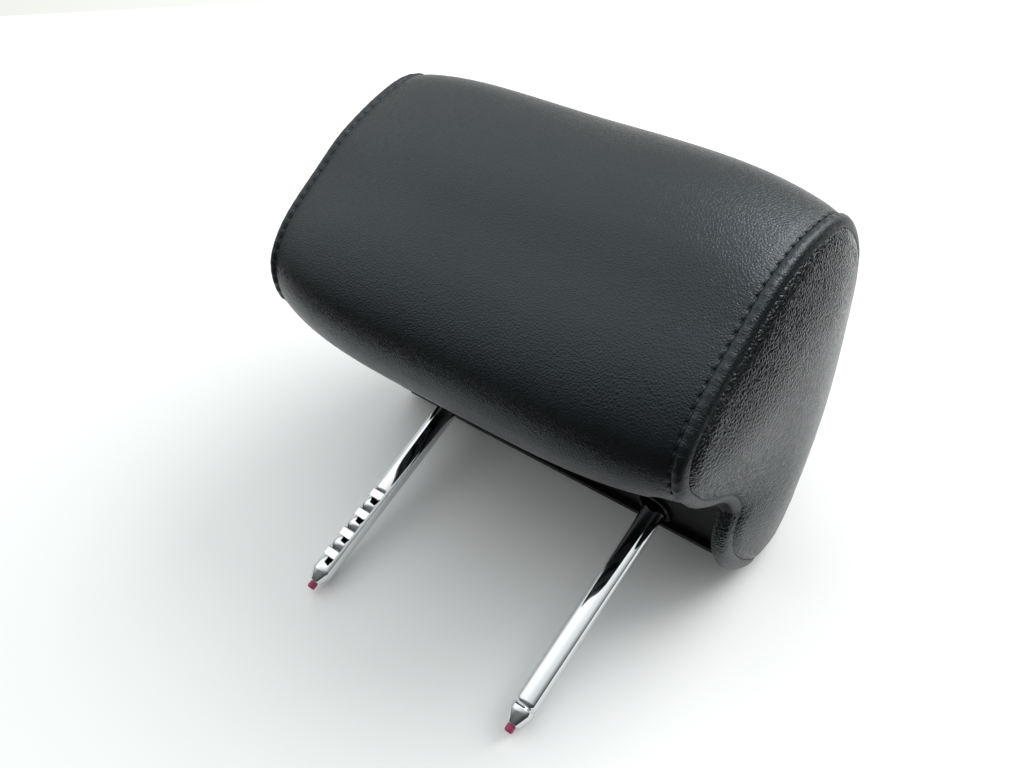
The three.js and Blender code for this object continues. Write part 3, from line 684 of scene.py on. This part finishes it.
def chrome_frame():
    """The bent tube with coned ends, the height notches and the catch groove."""
    around = 96
    half = post_spacing / 2
    inner = half - bend_radius
    base = crossbar_height - bend_radius
    bends = np.linspace(0, np.pi / 2, 20)[1:]
    centres, sizes, cut = [], [], []
    for side in (-1, 1):
        rows = post_rows(side)
        part = [(side * half, 0, z) for z, _ in rows]
        for angle in bends:
            x = side * (inner + bend_radius * np.cos(angle))
            part.append((x, 0, base + bend_radius * np.sin(angle)))
        size = [radius for _, radius in rows] + [post_radius] * len(bends)
        flat = [side < 0 and any(abs(z - h) < notch_length / 2 for h in notch_heights) for z, _ in rows]
        flat += [False] * len(bends)
        order = slice(None) if side < 0 else slice(None, None, -1)
        centres += part[order]
        sizes += size[order]
        cut += flat[order]
    centres = np.array(centres)
    along = np.gradient(centres, axis=0)
    upright = centres[:, 2] < base
    along[upright] = np.where(centres[upright, :1] < 0, 1, -1) * np.array([0, 0, 1.0])
    depth = np.array([0.0, 1.0, 0.0])
    angles = 2 * np.pi * np.arange(around) / around
    vertices = []
    for centre, way, size, flat in zip(centres, unit(along), sizes, cut):
        side = np.cross(depth, way)
        circle = centre + size * (np.cos(angles)[:, None] * side + np.sin(angles)[:, None] * depth)
        if flat:
            circle[:, 1] = np.maximum(circle[:, 1], notch_depth - post_radius)
        vertices.append(circle)
    return make_mesh("chrome_posts", np.vstack(vertices), grid_faces(len(centres), around, closed=True))


# Materials
def new_material(name):
    material = bpy.data.materials.new(name)
    material.use_nodes = True
    tree = material.node_tree
    tree.nodes.clear()
    output = tree.nodes.new("ShaderNodeOutputMaterial")
    shader = tree.nodes.new("ShaderNodeBsdfPrincipled")
    tree.links.new(shader.outputs[0], output.inputs[0])
    return material, tree, shader


def node(tree, kind, **values):
    made = tree.nodes.new(kind)
    for key, value in values.items():
        if key in made.inputs:
            made.inputs[key].default_value = value
        else:
            setattr(made, key, value)
    return made


def noise(tree, place, **values):
    """A noise texture read at a place, as its grey value."""
    made = node(tree, "ShaderNodeTexNoise", **values)
    tree.links.new(place, made.inputs["Vector"])
    return made.outputs["Fac"]


def ramp(tree, source, stops):
    """A colour ramp through stops of place and colour."""
    made = tree.nodes.new("ShaderNodeValToRGB")
    elements = made.color_ramp.elements
    while len(elements) < len(stops):
        elements.new(0.5)
    for element, (place, colour) in zip(elements, stops):
        element.position = place
        element.color = (*colour, 1)
    tree.links.new(source, made.inputs[0])
    return made.outputs[0]


def grey_ramp(tree, source, stops):
    return ramp(tree, source, [(place, (value, value, value)) for place, value in stops])


def scaled(tone, share):
    return tuple(min(channel * share, 1) for channel in tone)


def maths(tree, operation, *sources):
    """A Math node fed by sockets or plain numbers."""
    made = node(tree, "ShaderNodeMath", operation=operation)
    for socket, source in zip(made.inputs, sources):
        if isinstance(source, (int, float)):
            socket.default_value = source
        else:
            tree.links.new(source, socket)
    return made.outputs[0]


def bumped(tree, shader, height, strength, distance):
    bump = node(tree, "ShaderNodeBump", Strength=strength, Distance=distance)
    tree.links.new(height, bump.inputs["Height"])
    tree.links.new(bump.outputs[0], shader.inputs["Normal"])


def seam_wrinkles(tree):
    """Fine creases across the roll and away from the stitches, strongest beside the seam."""
    link = tree.links.new
    flat = node(tree, "ShaderNodeUVMap", uv_map="strip")
    apart = tree.nodes.new("ShaderNodeSeparateXYZ")
    link(flat.outputs[0], apart.inputs[0])
    place = maths(tree, "ABSOLUTE", apart.outputs["X"])
    stretch = node(tree, "ShaderNodeMapping", Scale=(9, 62, 1))
    link(flat.outputs[0], stretch.inputs["Vector"])
    lines = noise(tree, stretch.outputs[0], Scale=1.0, Detail=3.0, Roughness=0.6, Distortion=0.5)
    halved = 0.5 * uv_per_mm
    stops = [(100 * halved, 0), (113 * halved, 0.35), (115 * halved, 1), (120 * halved, 1)]
    near = grey_ramp(tree, maths(tree, "MULTIPLY", place, 0.5), stops)
    return maths(tree, "MULTIPLY", lines, near)


def lint(tree, place):
    """White lint caught on the right side panel near its lower front edge, as the photograph shows."""
    centre = (0.121, -0.129, 0.130)
    away = node(tree, "ShaderNodeVectorMath", operation="DISTANCE")
    tree.links.new(place, away.inputs[0])
    away.inputs[1].default_value = centre
    close = maths(tree, "MULTIPLY", away.outputs["Value"], 50.0)
    close = grey_ramp(tree, close, [(0.25, 1), (0.75, 0)])
    flecks = noise(tree, place, Scale=1500.0, Detail=2.0, Distortion=1.4)
    return maths(tree, "MULTIPLY", close, grey_ramp(tree, flecks, [(0.64, 0), (0.70, 1)]))


def leather_material(name, tone, cell, depth, rough, wrinkle, shine, sewn=0.0, dusty=False):
    """Leather with a cellular grain, finer pores, soft creases and slow changes of tone."""
    warping = 0.0012
    pore_share = 0.3
    material, tree, shader = new_material(name)
    link = tree.links.new
    place = node(tree, "ShaderNodeTexCoord").outputs["Object"]
    warp = node(tree, "ShaderNodeTexNoise", Scale=240.0, Detail=2.0)
    link(place, warp.inputs["Vector"])
    bend = node(tree, "ShaderNodeMix", data_type="VECTOR")
    bend.inputs[0].default_value = warping
    link(place, bend.inputs[4])
    link(warp.outputs["Color"], bend.inputs[5])
    edges = node(tree, "ShaderNodeTexVoronoi", Scale=1 / cell, feature="DISTANCE_TO_EDGE")
    link(bend.outputs[1], edges.inputs["Vector"])
    pebbles = grey_ramp(tree, edges.outputs["Distance"], [(0.0, 0), (0.2, 0.62), (0.42, 0.95), (0.6, 1)])
    pores = noise(tree, place, Scale=2400.0, Detail=2.0)
    creases = noise(tree, place, Scale=110.0, Detail=4.0, Roughness=0.62, Distortion=0.7)
    height = maths(tree, "MULTIPLY_ADD", pores, pore_share, pebbles)
    height = maths(tree, "MULTIPLY_ADD", creases, wrinkle, height)
    if sewn:
        height = maths(tree, "MULTIPLY_ADD", seam_wrinkles(tree), sewn, height)
    bumped(tree, shader, height, 0.9, depth)
    cloud = noise(tree, place, Scale=16.0, Detail=4.0)
    colour = ramp(tree, cloud, [(0.35, scaled(tone, 0.82)), (0.65, scaled(tone, 1.18))])
    if dusty:
        mixed = node(tree, "ShaderNodeMix", data_type="RGBA")
        link(lint(tree, place), mixed.inputs[0])
        link(colour, mixed.inputs[6])
        mixed.inputs[7].default_value = (0.42, 0.43, 0.43, 1)
        colour = mixed.outputs[2]
    link(colour, shader.inputs["Base Color"])
    rubbed = noise(tree, place, Scale=34.0, Detail=4.0)
    worn = maths(tree, "MULTIPLY_ADD", rubbed, 0.16, rough - 0.08)
    worn = maths(tree, "MULTIPLY_ADD", pebbles, -0.06, worn)
    link(worn, shader.inputs["Roughness"])
    shader.inputs["IOR"].default_value = 1.5
    shader.inputs["Specular Tint"].default_value = (0.82, 0.95, 1.0, 1)
    shader.inputs["Specular IOR Level"].default_value = shine
    return material


def plastic_material(name, tone, rough, fleck=0.0001, shine=0.5):
    """Plastic, foam or thread: a fine sparkle of bumps and slow changes of tone."""
    material, tree, shader = new_material(name)
    place = node(tree, "ShaderNodeTexCoord").outputs["Object"]
    bumped(tree, shader, noise(tree, place, Scale=1500.0, Detail=2.0), 0.5, fleck)
    cloud = noise(tree, place, Scale=40.0, Detail=2.0)
    colour = ramp(tree, cloud, [(0.3, scaled(tone, 0.85)), (0.7, scaled(tone, 1.12))])
    tree.links.new(colour, shader.inputs["Base Color"])
    shader.inputs["Roughness"].default_value = rough
    shader.inputs["Specular IOR Level"].default_value = shine
    return material


def metal_material(name, tone, rough, scratch):
    """Metal with long fine scratches and smears of more and less polish."""
    material, tree, shader = new_material(name)
    link = tree.links.new
    place = node(tree, "ShaderNodeTexCoord").outputs["Object"]
    stretch = node(tree, "ShaderNodeMapping", Scale=(1, 1, 0.03))
    link(place, stretch.inputs["Vector"])
    bumped(tree, shader, noise(tree, stretch.outputs[0], Scale=2200.0, Detail=3.0), 0.2, scratch)
    smear = noise(tree, place, Scale=60.0, Detail=3.0)
    link(maths(tree, "MULTIPLY_ADD", smear, rough * 0.7, rough * 0.65), shader.inputs["Roughness"])
    link(ramp(tree, smear, [(0.3, scaled(tone, 0.95)), (0.7, tone)]), shader.inputs["Base Color"])
    shader.inputs["Metallic"].default_value = 1.0
    return material


leather = leather_material(
    "leather",
    tone=(0.0045, 0.0054, 0.0070),
    cell=0.0013,
    depth=0.00012,
    rough=0.36,
    wrinkle=1.6,
    shine=0.54,
    sewn=2.6,
)
side_leather = leather_material(
    "side_leather",
    tone=(0.0065, 0.0072, 0.008),
    cell=0.0019,
    depth=0.0003,
    rough=0.25,
    wrinkle=0.5,
    shine=0.44,
    dusty=True,
)
thread = plastic_material("thread", (0.010, 0.010, 0.012), 0.38, fleck=0.0002)
foam = plastic_material("foam", (0.60, 0.54, 0.33), 0.95, fleck=0.0006)
chrome = metal_material("chrome", (0.80, 0.82, 0.84), 0.045, 0.00001)
finishes = {
    "red_plastic": plastic_material("red_plastic", (0.34, 0.02, 0.10), 0.30),
    "black_plastic": plastic_material("black_plastic", (0.003, 0.003, 0.0035), 0.45, shine=0.12),
    "nylon": plastic_material("nylon", (0.70, 0.67, 0.58), 0.45),
    "zinc_steel": metal_material("zinc_steel", (0.62, 0.60, 0.52), 0.35, 0.00005),
    "spring_steel": metal_material("spring_steel", (0.42, 0.43, 0.45), 0.30, 0.00005),
}


def dress(obj, material):
    obj.data.materials.clear()
    obj.data.materials.append(material)


main = main_panel()
dress(main, leather)
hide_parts("main_cover")
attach(main, "cushion")

under = bottom_strip()
dress(under, side_leather)
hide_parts("bottom_gusset")
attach(under, "cushion")

core = foam_core()
dress(core, foam)
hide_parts("foam_pad")
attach(core, "cushion")

for side in (1, -1):
    panel = side_panel(side)
    dress(panel, side_leather)
    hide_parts(f"{side_word(side)}_side_panel")
    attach(panel, "cushion")
    row = stitches(side)
    dress(row, thread)
    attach(row, "cushion")

posts = chrome_frame()
dress(posts, chrome)
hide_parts("post_frame")
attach(posts, "posts")

for part in frame["record"]["subparts"]:
    if part["material_slot"] in finishes:
        dress(nodes[part["node"]], finishes[part["material_slot"]])


# The floor that the headrest lies on: through the post ends and the lower corner of the rear lobe
floor_point = Vector((0, 0.0068, 0.006))
floor_up = Vector((0, -0.9893, 0.1459)).normalized()
floor_ahead = floor_up.cross(Vector((1, 0, 0))).normalized()


def sheet_of_floor(name, corners, lower, tone):
    """A one-sided matt sheet, so that the object can also be looked at from behind it."""
    mesh = bpy.data.meshes.new(name)
    corner = floor_point - floor_up * lower
    places = [corner + Vector((x, 0, 0)) + floor_ahead * ahead for x, ahead in corners]
    mesh.from_pydata([tuple(place) for place in places], [], [tuple(range(len(places)))])
    mesh.update()
    if mesh.polygons[0].normal.dot(floor_up) < 0:
        mesh.flip_normals()
    made = bpy.data.objects.new(name, mesh)
    bpy.context.scene.collection.objects.link(made)
    material = bpy.data.materials.new(name)
    material.use_nodes = True
    tree = material.node_tree
    tree.nodes.clear()
    link = tree.links.new
    output = tree.nodes.new("ShaderNodeOutputMaterial")
    matt = node(tree, "ShaderNodeBsdfDiffuse", Color=(*tone, 1))
    clear = node(tree, "ShaderNodeBsdfTransparent")
    side = node(tree, "ShaderNodeNewGeometry")
    pick = tree.nodes.new("ShaderNodeMixShader")
    link(side.outputs["Backfacing"], pick.inputs[0])
    link(matt.outputs[0], pick.inputs[1])
    link(clear.outputs[0], pick.inputs[2])
    link(pick.outputs[0], output.inputs[0])
    mesh.materials.append(material)


# Corners of the sheets, as metres across and ahead on the floor: the white card ends just outside
# the picture, because the lower leather and the side band reflect something dark there
card = (
    (-0.142, -0.178),
    (0.266, 0.101),
    (0.211, 0.235),
    (0.203, 0.765),
    (-0.95, 0.282),
    (-0.395, -0.026),
)
cream_card = ((-1.2, 0.1), (-0.9, 0.2), (0.205, 0.6), (0.205, 2.4), (-2.6, 2.4))
table = ((-2.6, -1.4), (1.6, -1.4), (1.6, 2.4), (-2.6, 2.4))
sheet_of_floor("floor", card, 0.0, (0.95, 0.955, 0.95))
sheet_of_floor("backdrop", cream_card, 0.002, (0.86, 0.85, 0.82))
sheet_of_floor("table", table, 0.004, (0.05, 0.05, 0.052))


def area_light(name, place, power):
    """A round lamp that faces the middle of the headrest."""
    target = Vector((0, 0, 0.15))
    data = bpy.data.lights.new(name, "AREA")
    data.shape = "DISK"
    data.size = 1.2
    data.energy = power
    lamp = bpy.data.objects.new(name, data)
    bpy.context.scene.collection.objects.link(lamp)
    lamp.location = place
    lamp.rotation_euler = (target - Vector(place)).to_track_quat("-Z", "Y").to_euler()


area_light("window", (0.6, -0.75, 1.35), 18)
area_light("rear_fill", (0.0, 1.5, 0.1), 5)


def facing(tree, way, low, high):
    """How far a ray heads along a way, from 0 at the low cosine to 1 at the high one."""
    toward = node(tree, "ShaderNodeVectorMath", operation="DOT_PRODUCT")
    tree.links.new(node(tree, "ShaderNodeTexCoord").outputs["Generated"], toward.inputs[0])
    toward.inputs[1].default_value = Vector(way).normalized()
    span = node(tree, "ShaderNodeMapRange")
    span.inputs["From Min"].default_value = low
    span.inputs["From Max"].default_value = high
    tree.links.new(toward.outputs["Value"], span.inputs["Value"])
    return span.outputs[0]


def world():
    """One soft room for every kind of ray, brighter towards the top and over the floor."""
    made = bpy.data.worlds.new("room")
    bpy.context.scene.world = made
    made.use_nodes = True
    tree = made.node_tree
    tree.nodes.clear()
    levels = (
        (0, 0.13),
        (0.1, 0.18),
        (0.2, 0.32),
        (0.3, 0.48),
        (0.45, 0.62),
        (0.6, 0.78),
        (0.75, 0.90),
        (1, 0.84),
    )
    height = grey_ramp(tree, facing(tree, (-0.35, 0, 1), -0.5, 0.5), levels)
    over_floor = maths(tree, "MULTIPLY_ADD", facing(tree, floor_up, 0.0, 0.6), 1.25, 0.35)
    output = tree.nodes.new("ShaderNodeOutputWorld")
    light = node(tree, "ShaderNodeBackground", Color=(0.97, 1.0, 1.0, 1))
    tree.links.new(maths(tree, "MULTIPLY", over_floor, height), light.inputs["Strength"])
    tree.links.new(light.outputs[0], output.inputs[0])


world()
